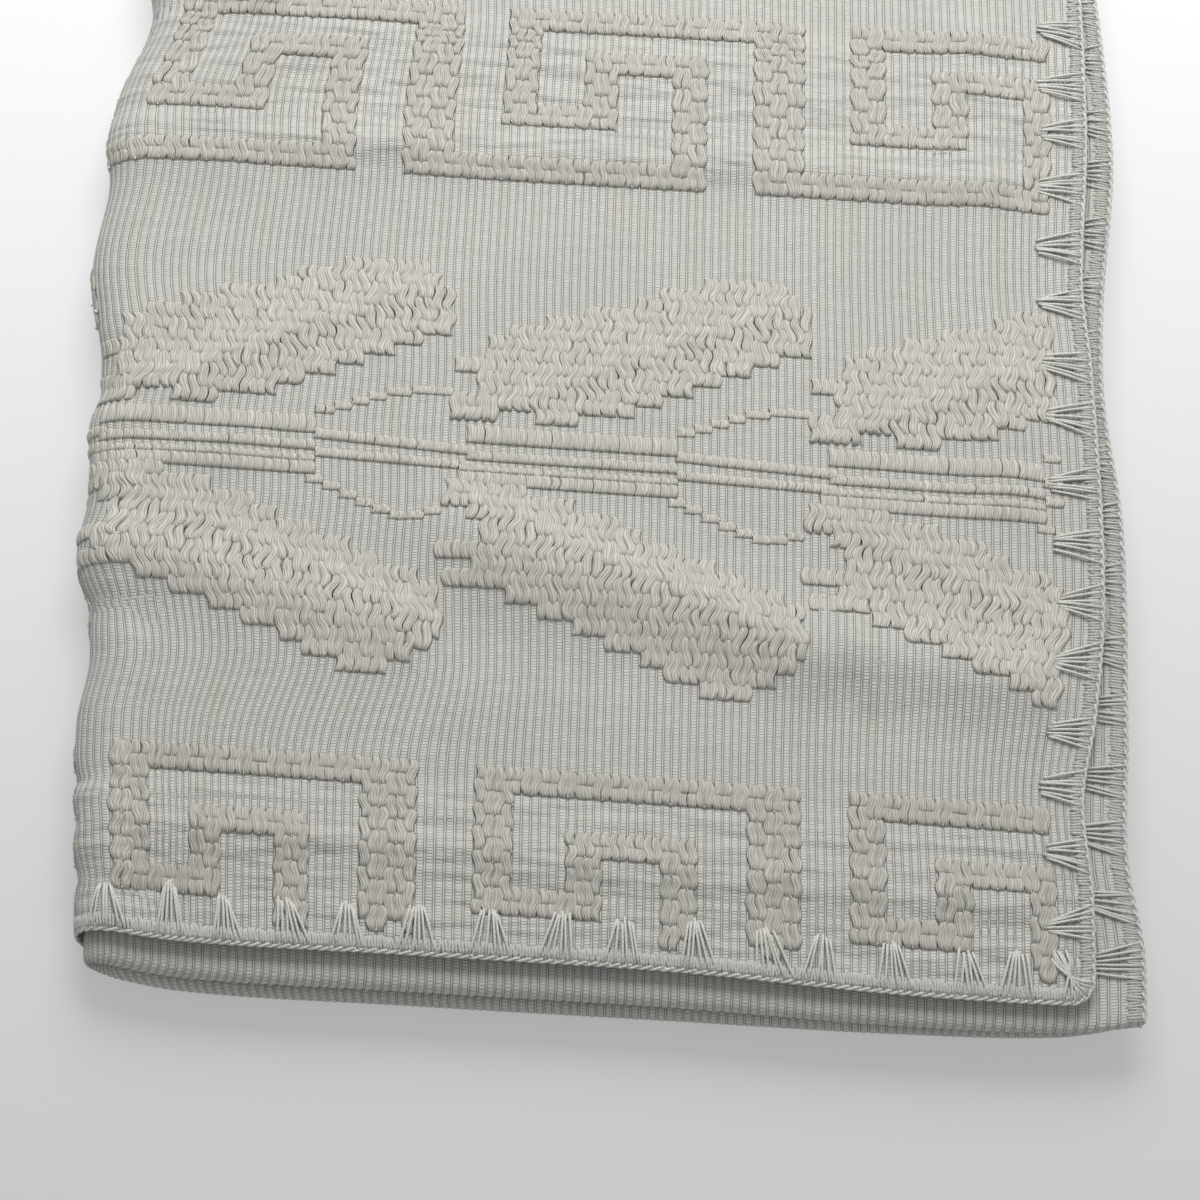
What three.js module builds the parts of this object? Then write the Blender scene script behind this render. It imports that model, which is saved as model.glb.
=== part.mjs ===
// A woven cotton bedspread with a crocheted edging, folded for a shelf.
//
// Millimetres, +Z up. X runs across the folded pack, from its folded side to its open side. Y runs
// from the front of the pack to its back. The origin is on the surface that the pack lies on, under
// its middle.
//
// The cloth is one panel. It is folded back and forth along its length into three layers, and that
// strip of layers is then folded once across, round a soft fold on the left. A point of the flat
// cloth is given as u across it, v along it and h up from its middle surface, and fold() carries
// that point to its place in the pack. The half with the higher u is the upper one.
import * as THREE from "three";

// Driving dimensions
const THICKNESS = 2; // woven cloth, floats and all
const PITCH = 5; // middle of one layer to the middle of the next
const HALF_GAP = 1; // air on each side of the plane where the two halves of the pack meet
const LAYERS = 3; // in each half of the pack
const SIDE_FOLD_X = -152; // where the cloth begins to turn round the side fold
const SIDE_FOLD_DEPTH = 1.5; // the side fold's depth over its half height
const RUN = 315; // cloth from the side fold to the open side
const TURN = 24; // cloth from the side fold's start to its tip
const FRONT_EDGE_Y = -118; // the upper hem, at the middle of the pack
const FRONT_FOLD_Y = -124; // where the cloth begins to turn round the front fold
const BACK_FOLD_Y = 288; // where the cloth begins to turn round the back fold
const BACK_EDGE_Y = 283; // the lower hem
const SKEW_FRONT = 0.075; // how far the rows run off square, at the front and at the back
const SKEW_BACK = 0.06;
const CORNER = 7; // an eased corner of the cloth
const CORNER_EASE = 2;
const CORD = 1.8; // the chain that the crochet ends in
const CORD_SIDES = 6;
const CORD_GAP = 0.3;

// Worked out from those
const OUTER_RADIUS = THICKNESS + (LAYERS - 1) * PITCH + HALF_GAP; // half the height of the pack
const FOLD_RADIUS = PITCH / 2;
const FOLD_LENGTH = Math.PI * FOLD_RADIUS;
const WIDTH = 2 * (RUN + TURN);
const TOP_LENGTH = BACK_FOLD_Y - FRONT_EDGE_Y;
const MIDDLE_LENGTH = BACK_FOLD_Y - FRONT_FOLD_Y;
const INNER_LENGTH = BACK_EDGE_Y - FRONT_FOLD_Y;
const MIDDLE_V = TOP_LENGTH + FOLD_LENGTH;
const INNER_V = MIDDLE_V + MIDDLE_LENGTH + FOLD_LENGTH;
const LENGTH = INNER_V + INNER_LENGTH;

// Outlines, as [distance along, position] pairs with the cloth running smoothly through them.
// The open side of each layer of the upper half, x against y: the top layer lies furthest in.
const OPEN_SIDE = [
  [[-130, 149], [-85, 151], [-55, 150], [-25, 156], [15, 161], [95, 162], [125, 161], [185, 166], [288, 168]],
  [[-130, 165], [-100, 166], [-70, 163], [-30, 166], [40, 169], [85, 166], [120, 168], [180, 175], [288, 171]],
  [[-130, 164], [-70, 158], [100, 160], [283, 162]],
];
// The open side of the lower half, which lies a little further in
const LOWER_SIDE_IN = 5;
// The tip of the side fold, x against y, less its even position
const SIDE_TIP = [
  [-125, 9], [-95, 6], [-50, 3], [-26, 6], [8, -1], [30, 2], [55, 0], [78, 3], [112, -3], [150, 2],
  [178, 2], [212, 13], [238, 9], [290, 14],
];
// How far the front fold of each half stands out past its even place, against x
const UPPER_FRONT = [[-165, 3], [-130, -1], [-60, 0], [20, 1], [90, -1], [150, 0], [170, 3]];
const LOWER_FRONT = [[-165, -1], [-130, -5], [-60, -4], [20, -4], [90, -3], [140, 0], [165, 7]];
// The rise and fall of the top of the pack, against y and against x: it lies flattest at its open side
const RISE_ALONG = [[-135, -0.8], [-90, 0.2], [-20, -0.6], [60, 0.9], [130, -0.3], [200, 0.6], [295, -0.6]];
const RISE_ACROSS = [[-175, -0.4], [-120, 0.6], [-40, -0.2], [50, -0.6], [120, -1.8], [175, -3.2]];

// The value at t of the smooth line through [t, value] pairs; it runs level past both ends.
function along(pairs, t) {
  const last = pairs.length - 1;
  if (t <= pairs[0][0]) return pairs[0][1];
  if (t >= pairs[last][0]) return pairs[last][1];
  const i = pairs.findIndex((pair) => pair[0] > t) - 1;
  const slope = (k) => {
    const a = pairs[Math.max(k - 1, 0)];
    const b = pairs[Math.min(k + 1, last)];
    return (b[1] - a[1]) / (b[0] - a[0]);
  };
  const span = pairs[i + 1][0] - pairs[i][0];
  const s = (t - pairs[i][0]) / span;
  return (
    pairs[i][1] * (1 + 2 * s) * (1 - s) ** 2 +
    pairs[i + 1][1] * s * s * (3 - 2 * s) +
    slope(i) * span * s * (1 - s) ** 2 -
    slope(i + 1) * span * s * s * (1 - s)
  );
}

// Where v falls in the back-and-forth section: its y, its depth under the top of the half pack, and
// its layer as a number that runs on evenly through a fold.
function sectionAt(v, h) {
  const half = THICKNESS / 2;
  if (v <= TOP_LENGTH) return { y: FRONT_EDGE_Y + v, depth: half - h, layer: 0 };
  if (v < MIDDLE_V) {
    const turn = (v - TOP_LENGTH) / FOLD_RADIUS;
    const reach = FOLD_RADIUS + h;
    return {
      y: BACK_FOLD_Y + reach * Math.sin(turn),
      depth: half + FOLD_RADIUS - reach * Math.cos(turn),
      layer: turn / Math.PI,
    };
  }
  if (v <= INNER_V - FOLD_LENGTH) {
    return { y: BACK_FOLD_Y - (v - MIDDLE_V), depth: half + PITCH + h, layer: 1 };
  }
  if (v < INNER_V) {
    const turn = (v - INNER_V + FOLD_LENGTH) / FOLD_RADIUS;
    const reach = FOLD_RADIUS - h;
    return {
      y: FRONT_FOLD_Y - reach * Math.sin(turn),
      depth: half + PITCH + FOLD_RADIUS - reach * Math.cos(turn),
      layer: 1 + turn / Math.PI,
    };
  }
  return { y: FRONT_FOLD_Y + (v - INNER_V), depth: half + 2 * PITCH - h, layer: 2 };
}

// The open side's x at a place in the section.
function openSide(y, layer) {
  const upper = Math.floor(layer);
  const share = layer - upper;
  const here = along(OPEN_SIDE[upper], y);
  return share === 0 ? here : here + share * (along(OPEN_SIDE[upper + 1], y) - here);
}

// The pack's own unevenness: the rows run off square, the fronts stand out and the top rises and falls.
function settle(x, y, z) {
  const upper = z / (2 * OUTER_RADIUS);
  const back = THREE.MathUtils.smoothstep(y, FRONT_EDGE_Y, BACK_FOLD_Y);
  const skew = SKEW_FRONT + back * (SKEW_BACK - SKEW_FRONT);
  const front = 1 - THREE.MathUtils.smoothstep(y, FRONT_FOLD_Y - 4, FRONT_FOLD_Y + 45);
  const lean = along(LOWER_FRONT, x) + upper * (along(UPPER_FRONT, x) - along(LOWER_FRONT, x));
  const rise = 1 + (along(RISE_ALONG, y) + along(RISE_ACROSS, x)) / (2 * OUTER_RADIUS);
  return new THREE.Vector3(x, y - skew * x + front * lean, z * rise);
}

// A point of the flat cloth, carried to its place in the folded pack.
function fold(u, v, h) {
  const { y, depth, layer } = sectionAt(v, h);
  const radius = OUTER_RADIUS - depth;
  const side = u > WIDTH / 2 ? 1 : -1;
  const fromTip = Math.abs(u - WIDTH / 2);
  const tip = along(SIDE_TIP, y) * (radius / OUTER_RADIUS);
  if (fromTip < TURN) {
    const turn = (Math.PI / 2) * (fromTip / TURN);
    const sideways = SIDE_FOLD_DEPTH * radius * Math.cos(turn);
    const x = SIDE_FOLD_X + tip - sideways;
    return settle(x, y, OUTER_RADIUS + side * radius * Math.sin(turn));
  }
  const reach = openSide(y, layer) - (side > 0 ? 0 : LOWER_SIDE_IN);
  const share = (fromTip - TURN) / RUN;
  const x = SIDE_FOLD_X + tip + share * (reach - SIDE_FOLD_X - tip);
  return settle(x, y, OUTER_RADIUS + side * radius);
}

// Grid lines from a to b in even steps, without b.
function steps(a, b, count) {
  return Array.from({ length: count }, (_, i) => a + ((b - a) * i) / count);
}

const ACROSS = [
  0,
  ...steps(CORNER, RUN, 7),
  ...steps(RUN, RUN + 2 * TURN, 10),
  ...steps(RUN + 2 * TURN, WIDTH - CORNER, 7),
  WIDTH - CORNER,
  WIDTH,
];
const ALONG = [
  0,
  ...steps(CORNER, TOP_LENGTH, 13),
  ...steps(TOP_LENGTH, MIDDLE_V, 6),
  ...steps(MIDDLE_V, INNER_V - FOLD_LENGTH, 13),
  ...steps(INNER_V - FOLD_LENGTH, INNER_V, 6),
  ...steps(INNER_V, LENGTH - CORNER, 13),
  LENGTH - CORNER,
  LENGTH,
];

// Moves every vertex of a geometry, and leaves only positions behind, because the old normals and
// texture coordinates belong to the flat shape.
function reshape(geometry, move) {
  const position = geometry.getAttribute("position");
  const uv = geometry.getAttribute("uv");
  for (let i = 0; i < position.count; i += 1) {
    const from = new THREE.Vector3().fromBufferAttribute(position, i);
    const to = move(from, uv.getX(i), uv.getY(i));
    position.setXYZ(i, to.x, to.y, to.z);
  }
  geometry.deleteAttribute("uv");
  geometry.computeVertexNormals();
  return geometry;
}

// The woven cloth: a flat slab with a line of vertices at every place in ACROSS and ALONG, folded.
function wovenCloth() {
  const columns = ACROSS.length - 1;
  const rows = ALONG.length - 1;
  const slab = new THREE.BoxGeometry(1, 1, THICKNESS, columns, rows, 1);
  return reshape(slab, (from) => {
    const column = Math.round((from.x + 0.5) * columns);
    const row = Math.round((from.y + 0.5) * rows);
    const atCorner = column % columns === 0 && row % rows === 0;
    const ease = atCorner ? CORNER_EASE : 0;
    const u = ACROSS[column] + (column === 0 ? ease : -ease);
    const v = ALONG[row] + (row === 0 ? ease : -ease);
    return fold(u, v, from.z);
  });
}

// Stops along the edge of the flat cloth, each with the direction that points away from the cloth.
function edgeStops() {
  const corner = (u, v, outU, outV) => ({
    u: u - outU * CORNER_EASE,
    v: v - outV * CORNER_EASE,
    outU: outU * Math.SQRT1_2,
    outV: outV * Math.SQRT1_2,
  });
  const across = ACROSS.slice(1, -1);
  const up = ALONG.slice(1, -1);
  return [
    corner(0, 0, -1, -1),
    ...across.map((u) => ({ u, v: 0, outU: 0, outV: -1 })),
    corner(WIDTH, 0, 1, -1),
    ...up.map((v) => ({ u: WIDTH, v, outU: 1, outV: 0 })),
    corner(WIDTH, LENGTH, 1, 1),
    ...across.toReversed().map((u) => ({ u, v: LENGTH, outU: 0, outV: 1 })),
    corner(0, LENGTH, -1, 1),
    ...up.toReversed().map((v) => ({ u: 0, v, outU: -1, outV: 0 })),
  ];
}

// The crocheted chain: a ring laid round the edge of the flat cloth, and folded with it.
function crochetEdging() {
  const stops = edgeStops();
  const ring = new THREE.TorusGeometry(1, 0.5, CORD_SIDES, stops.length);
  const radius = CORD / 2;
  return reshape(ring, (_, around, aboutCord) => {
    const stop = stops[Math.round(around * stops.length) % stops.length];
    const angle = 2 * Math.PI * aboutCord;
    const out = CORD_GAP + radius + radius * Math.cos(angle);
    return fold(stop.u + out * stop.outU, stop.v + out * stop.outV, radius * Math.sin(angle));
  });
}

const cottonCloth = new THREE.MeshStandardMaterial({ color: 0xd8d3c6, roughness: 0.95, metalness: 0 });
const crochetCotton = new THREE.MeshStandardMaterial({ color: 0xdedbd2, roughness: 0.8, metalness: 0 });

function named(name, geometry, material) {
  const mesh = new THREE.Mesh(geometry, material);
  mesh.name = name;
  return mesh;
}

const bedspread = new THREE.Group();
bedspread.add(named("bedspread", wovenCloth(), cottonCloth));
bedspread.add(named("crochet_edging", crochetEdging(), crochetCotton));

// The origin goes under the middle of the pack, on the surface that it lies on.
const bounds = new THREE.Box3().setFromObject(bedspread);
const middle = bounds.getCenter(new THREE.Vector3());
bedspread.position.set(-middle.x, -middle.y, -bounds.min.z);

export default bedspread;
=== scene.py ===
"""A woven cotton bedspread with a crocheted edging, folded for a shelf and laid on a pale floor.

The cloth is one panel. It is folded back and forth along its length into three layers, and that strip
is folded once across, round a soft fold on the left. A place on the flat cloth is given as u across it,
v along it and h up from its middle surface, in millimetres, and fold() carries it to its place in the
pack. Soft yarn lies over the ribbed ground in floats, which draw two bands of keys and a row of wings.
"""

import math

import bpy
import numpy as np
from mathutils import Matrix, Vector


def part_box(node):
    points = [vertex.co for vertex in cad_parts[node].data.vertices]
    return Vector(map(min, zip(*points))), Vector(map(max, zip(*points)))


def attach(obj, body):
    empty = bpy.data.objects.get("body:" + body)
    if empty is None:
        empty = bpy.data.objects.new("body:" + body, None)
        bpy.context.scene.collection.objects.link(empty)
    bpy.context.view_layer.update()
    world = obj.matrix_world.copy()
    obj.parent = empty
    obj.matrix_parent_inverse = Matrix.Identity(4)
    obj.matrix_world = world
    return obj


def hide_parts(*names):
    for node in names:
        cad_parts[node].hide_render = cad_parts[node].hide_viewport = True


bl_info = {
    "name": "Folded bedspread",
    "version": (1, 0, 0),
    "blender": (4, 5, 0),
    "location": "3D View > Sidebar > Bedspread",
    "description": "Weaves, crochets and lays out a folded cotton bedspread",
    "category": "Object",
}

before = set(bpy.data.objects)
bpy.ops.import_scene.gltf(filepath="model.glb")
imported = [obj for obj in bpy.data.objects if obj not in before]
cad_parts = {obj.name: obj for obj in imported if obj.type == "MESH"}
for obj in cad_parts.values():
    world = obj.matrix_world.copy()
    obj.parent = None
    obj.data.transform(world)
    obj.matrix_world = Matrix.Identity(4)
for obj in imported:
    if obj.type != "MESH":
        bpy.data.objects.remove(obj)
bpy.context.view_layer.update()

MM = 0.001

# The folded cloth, as in the CAD part
THICKNESS = 2.0  # floats and all
PITCH = 5.0  # middle of one layer to the middle of the next
HALF_GAP = 1.0
LAYERS = 3
SIDE_FOLD_X = -152.0
SIDE_FOLD_DEPTH = 1.5
RUN = 315.0  # cloth from the side fold to the open side
TURN = 24.0  # cloth from the side fold's start to its tip
FRONT_EDGE_Y = -118.0
FRONT_FOLD_Y = -124.0
BACK_FOLD_Y = 288.0
BACK_EDGE_Y = 283.0
SKEW_FRONT = 0.075
SKEW_BACK = 0.06
CORNER = 7.0
LOWER_SIDE_IN = 5.0
# The open side of each layer of the upper half, as (y, x), with the top layer first
OPEN_SIDE = [
    [
        (-130, 149), (-85, 151), (-55, 150), (-25, 156), (15, 161), (95, 162), (125, 161), (185, 166),
        (288, 168),
    ],
    [
        (-130, 165), (-100, 166), (-70, 163), (-30, 166), (40, 169), (85, 166), (120, 168), (180, 175),
        (288, 171),
    ],
    [(-130, 164), (-70, 158), (100, 160), (283, 162)],
]  # fmt: skip
# The tip of the side fold, as (y, x), less its even place
SIDE_TIP = [
    (-125, 9), (-95, 6), (-50, 3), (-26, 6), (8, -1), (30, 2), (55, 0), (78, 3), (112, -3), (150, 2),
    (178, 2), (212, 13), (238, 9), (290, 14),
]  # fmt: skip
# How far the front fold of each half stands out, as (x, y)
UPPER_FRONT = [(-165, 3), (-130, -1), (-60, 0), (20, 1), (90, -1), (150, 0), (170, 3)]
LOWER_FRONT = [(-165, -3), (-130, -8), (-60, -7.5), (20, -6), (90, -3.5), (140, 0), (165, 7)]
FRONT_EASE_Y = (FRONT_FOLD_Y - 4, FRONT_FOLD_Y + 45)  # all of it up to the first, none from the second
# The rise and fall of the top of the pack, against y and against x
RISE_ALONG = [(-135, -0.8), (-90, 0.2), (-20, -0.6), (60, 0.9), (130, -0.3), (200, 0.6), (295, -0.6)]
RISE_ACROSS = [(-175, -0.4), (-120, 0.6), (-40, -0.2), (50, -0.6), (120, -1.8), (175, -3.2)]

# Worked out from those
OUTER_RADIUS = THICKNESS + (LAYERS - 1) * PITCH + HALF_GAP
FOLD_RADIUS = PITCH / 2
FOLD_LENGTH = math.pi * FOLD_RADIUS
WIDTH = 2 * (RUN + TURN)
TOP_LENGTH = BACK_FOLD_Y - FRONT_EDGE_Y
MIDDLE_V = TOP_LENGTH + FOLD_LENGTH
INNER_V = MIDDLE_V + BACK_FOLD_Y - FRONT_FOLD_Y + FOLD_LENGTH
LENGTH = INNER_V + BACK_EDGE_Y - FRONT_FOLD_Y
FLOOR_SIDE = RUN + 2 * TURN  # the upper half begins here, across the cloth

# The even lines that the ribs keep to, while the outlines wander about them
EVEN_TIP = 4.0
EVEN_OPEN_SIDE = (151.0, 0.042)  # at the upper hem, and how it grows towards the back
TIP_FADE = 4  # how soon the tip's wandering is lost across the cloth
OPEN_FADE = 6  # and the open side's

# At the front, the inner layers fill this share of the gap between them and the side fold's outside
FRONT_FILL = 0.25
FRONT_FILL_Y = (FRONT_FOLD_Y, FRONT_FOLD_Y + 30)  # all of it up to the first y, and none from the second

LOWEST = 0.03  # the least that a place on the cloth is above the floor

# The keys nearest the side fold are pulled towards it along the hem
PULL_ACROSS = [(-15, 0), (12, 0), (32, -3.4), (62, -5.6), (96, -5.2), (122, -2), (150, 0)]
PULL_ALONG = (56.0, 96.0)  # all of it up to the first v, and none from the second

# Creases of the top layer, as soft ridges: from (u, v) to (u, v), half width and height
CREASES = [
    ((365, 178), (420, 214), 9, 1.3),
    ((352, 150), (400, 168), 8, 1.0),
    ((350, 205), (385, 222), 7, 0.9),
    ((470, 104), (560, 92), 14, -0.9),
    ((560, 92), (640, 84), 10, -0.5),
    ((400, 96), (470, 82), 12, 0.6),
    ((480, 262), (560, 276), 16, -0.5),
    ((395, 268), (450, 284), 14, 0.7),
    ((372, 300), (430, 330), 12, 0.8),
    ((600, 190), (660, 212), 10, 0.5),
    ((590, 330), (665, 318), 12, -0.6),
    ((440, 360), (540, 372), 14, 0.6),
    ((345, 281), (650, 279), 8, 1.7),
    ((345, 272), (385, 270), 8, 1.2),
    ((364, 126), (450, 104), 12, 3.3),
    ((474, 137), (584, 107), 15, 4.2),
    ((604, 106), (656, 101), 14, 4.6),
    ((590, 122), (598, 92), 3.5, -0.8),
    ((599, 118), (607, 90), 4.0, 0.7),
    ((350, 34), (655, 30), 6, 1.6),
    ((640, 335), (650, 165), 10, 2.2),
    ((352, 350), (384, 344), 10, 4.0),
    ((340, 183), (362, 180), 6, -1.4),
    ((340, 108), (366, 104), 6, -1.6),
    ((371, 345), (366, 310), 6, -1.1),
    ((636, 306), (656, 292), 9, -1.0),
    ((664, 8), (664, 404), 3.6, -0.6),
    ((340, 49), (360, 48), 3.2, -1.2),
    ((340, 35), (362, 33), 3.2, -1.0),
    ((340, 17), (372, 12), 3.6, -1.3),
    ((347, 42), (356, 41), 3.5, 0.8),
    ((346, 26), (358, 24), 4.0, 0.8),
]

RIB = 2.8  # one rib, and one column of floats
FIRST_COLUMN_U = 359.0
REPEAT = 43  # columns in one repeat of the pattern
SHIFTS = [REPEAT * k for k in range(-4, 5)]  # enough repeats for the whole width
PICK = 0.95  # one weft thread to the next
WRINKLED_V = (24.0, 303.0)  # middles of the bands of keys, where the ground puckers


# ---------------------------------------------------------------- the folds


def along(pairs, t):
    """The smooth line through (t, value) pairs, which runs level past both ends."""
    at, value = np.array(pairs, float).T
    order = np.arange(len(at))
    before = np.maximum(order - 1, 0)
    after = np.minimum(order + 1, len(at) - 1)
    slope = (value[after] - value[before]) / (at[after] - at[before])
    t = np.clip(t, at[0], at[-1])
    i = np.clip(np.searchsorted(at, t, side="right") - 1, 0, len(at) - 2)
    span = at[i + 1] - at[i]
    s = (t - at[i]) / span
    return (
        value[i] * (1 + 2 * s) * (1 - s) ** 2
        + value[i + 1] * s * s * (3 - 2 * s)
        + slope[i] * span * s * (1 - s) ** 2
        - slope[i + 1] * span * s * s * (1 - s)
    )


def smoothstep(low, high, t):
    """0 below low, 1 above high and smooth between."""
    s = np.clip((t - low) / (high - low), 0, 1)
    return s * s * (3 - 2 * s)


def section_at(v, h):
    """Where v falls in the back-and-forth section: its y, its depth under the top of the half pack, and
    its layer as a number that runs on evenly through a fold."""
    half = THICKNESS / 2
    back_turn = (v - TOP_LENGTH) / FOLD_RADIUS
    front_turn = (v - INNER_V + FOLD_LENGTH) / FOLD_RADIUS
    spans = [v <= TOP_LENGTH, v < MIDDLE_V, v <= INNER_V - FOLD_LENGTH, v < INNER_V]
    y = np.select(
        spans,
        [
            FRONT_EDGE_Y + v,
            BACK_FOLD_Y + (FOLD_RADIUS + h) * np.sin(back_turn),
            BACK_FOLD_Y - (v - MIDDLE_V),
            FRONT_FOLD_Y - (FOLD_RADIUS - h) * np.sin(front_turn),
        ],
        FRONT_FOLD_Y + (v - INNER_V),
    )
    depth = np.select(
        spans,
        [
            half - h,
            half + FOLD_RADIUS - (FOLD_RADIUS + h) * np.cos(back_turn),
            half + PITCH + h,
            half + PITCH + FOLD_RADIUS - (FOLD_RADIUS - h) * np.cos(front_turn),
        ],
        half + 2 * PITCH - h,
    )
    layer = np.select(spans, [0 * v, back_turn / math.pi, 0 * v + 1, 1 + front_turn / math.pi], 0 * v + 2)
    return y, depth, layer


def open_side(y, layer):
    """The open side's x at a place in the section."""
    edges = np.stack([along(pairs, y) for pairs in OPEN_SIDE])
    upper = np.minimum(np.floor(layer).astype(int), LAYERS - 2)
    share = layer - upper
    here = np.take_along_axis(edges, upper[None], 0)[0]
    below = np.take_along_axis(edges, upper[None] + 1, 0)[0]
    return here + share * (below - here)


def settle(x, y, z):
    """The pack's own unevenness: the rows run off square, the fronts stand out, the top rises and falls."""
    upper = z / (2 * OUTER_RADIUS)
    skew = SKEW_FRONT + smoothstep(FRONT_EDGE_Y, BACK_FOLD_Y, y) * (SKEW_BACK - SKEW_FRONT)
    front = 1 - smoothstep(*FRONT_EASE_Y, y)
    lean = along(LOWER_FRONT, x) + upper * (along(UPPER_FRONT, x) - along(LOWER_FRONT, x))
    rise = 1 + (along(RISE_ALONG, y) + along(RISE_ACROSS, x)) / (2 * OUTER_RADIUS)
    return np.stack([x, y - skew * x + front * lean, z * rise], axis=-1)


def creased(u, v):
    """How far the creases lift the top layer."""
    lift = 0 * u
    for (u0, v0), (u1, v1), half_width, height in CREASES:
        run_u, run_v = u1 - u0, v1 - v0
        share = np.clip(((u - u0) * run_u + (v - v0) * run_v) / (run_u**2 + run_v**2), 0, 1)
        off = np.hypot(u - u0 - share * run_u, v - v0 - share * run_v) / half_width
        lift = lift + height * np.exp(-off * off)
    return lift


def fold(u, v, h):
    """Points of the flat cloth, carried to their places in the folded pack."""
    u, v, h = (np.asarray(a, float) for a in np.broadcast_arrays(u, v, h))
    h = h + creased(u, v)
    pulled = along(PULL_ACROSS, u - FIRST_COLUMN_U) * (1 - smoothstep(*PULL_ALONG, v))
    y, depth, layer = section_at(v, h)
    radius = OUTER_RADIUS - depth
    side = np.where(u > WIDTH / 2, 1, -1)
    from_tip = np.abs(u - WIDTH / 2)
    tip = along(SIDE_TIP, y) * (radius / OUTER_RADIUS)
    reach = open_side(y, layer) - np.where(side > 0, 0, LOWER_SIDE_IN)
    share = np.maximum(from_tip - TURN, 0) / RUN
    even_start = SIDE_FOLD_X + EVEN_TIP
    even_reach = EVEN_OPEN_SIDE[0] + EVEN_OPEN_SIDE[1] * (y - FRONT_EDGE_Y)
    flat_x = (
        even_start
        + share * (even_reach - even_start)
        + (tip - EVEN_TIP) * (1 - share) ** TIP_FADE
        + (reach - even_reach) * share**OPEN_FADE
        + np.where(v < TOP_LENGTH, pulled, 0)
    )
    turn = np.minimum(from_tip / TURN, 1) * math.pi / 2
    full = FRONT_FILL * (1 - smoothstep(*FRONT_FILL_Y, y))
    round_x = SIDE_FOLD_X + tip - SIDE_FOLD_DEPTH * (radius + full * (OUTER_RADIUS - radius)) * np.cos(turn)
    x = np.where(from_tip < TURN, round_x, flat_x)
    return settle(x, y, OUTER_RADIUS + side * radius * np.sin(turn))


def pack_shift():
    """From the middle of the folds' own plan to the middle of the CAD cloth."""
    u, v = np.meshgrid(np.linspace(0, WIDTH, 240), np.linspace(0, LENGTH, 480))
    own = np.concatenate([fold(u, v, h).reshape(-1, 3) for h in (-THICKNESS / 2, THICKNESS / 2)])
    low, high = (np.array(corner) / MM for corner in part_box("bedspread"))
    shift = (low + high) / 2 - (own.min(0) + own.max(0)) / 2
    return np.array([shift[0], shift[1], 0.0])


SHIFT = pack_shift()


def placed(u, v, h):
    """Points of the flat cloth in the frame, in metres, and never below the surface the pack lies on."""
    points = fold(u, v, h) + SHIFT
    points[..., 2] = np.maximum(points[..., 2], LOWEST)
    return points.reshape(-1, 3) * MM


# ---------------------------------------------------------------- helpers


def new_piece(name, points, faces, material, maps, numbers=None):
    """A mesh object at the origin, with smooth faces. maps are UV maps and numbers plain attributes, given
    as one value for each vertex."""
    mesh = bpy.data.meshes.new(name)
    mesh.from_pydata(points.tolist(), [], faces)
    corners = np.zeros(len(mesh.loops), np.int32)  # the vertex at each corner of a face
    mesh.loops.foreach_get("vertex_index", corners)
    for key, values in maps.items():
        mesh.uv_layers.new(name=key).uv.foreach_set("vector", values[corners].astype(np.float32).ravel())
    for key, values in (numbers or {}).items():
        mesh.attributes.new(key, "FLOAT", "POINT").data.foreach_set("value", values.astype(np.float32))
    mesh.shade_smooth()
    mesh.materials.append(material)
    piece = bpy.data.objects.new(name, mesh)
    bpy.context.collection.objects.link(piece)
    return piece


def zip_rows(low, low_at, high, high_at):
    """Triangles between two rows of vertices, each with its own spacing. They face the viewer who sees the
    rows run to the right and the high row on top."""
    faces = []
    i = j = 0
    while i < len(low) - 1 or j < len(high) - 1:
        if j == len(high) - 1 or (i < len(low) - 1 and low_at[i + 1] <= high_at[j + 1]):
            faces.append((low[i], low[i + 1], high[j]))
            i += 1
        else:
            faces.append((low[i], high[j + 1], high[j]))
            j += 1
    return faces


def between(low, low_at, high, high_at):
    """Quads where two rows have the same spacing, and triangles where they haven't."""
    if len(low) == len(high) and np.array_equal(low_at, high_at):
        return list(zip(low[:-1], low[1:], high[1:], high[:-1]))
    return zip_rows(low, low_at, high, high_at)


def flipped(faces):
    """The same faces, seen from their other side."""
    return [face[::-1] for face in faces]


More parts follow.
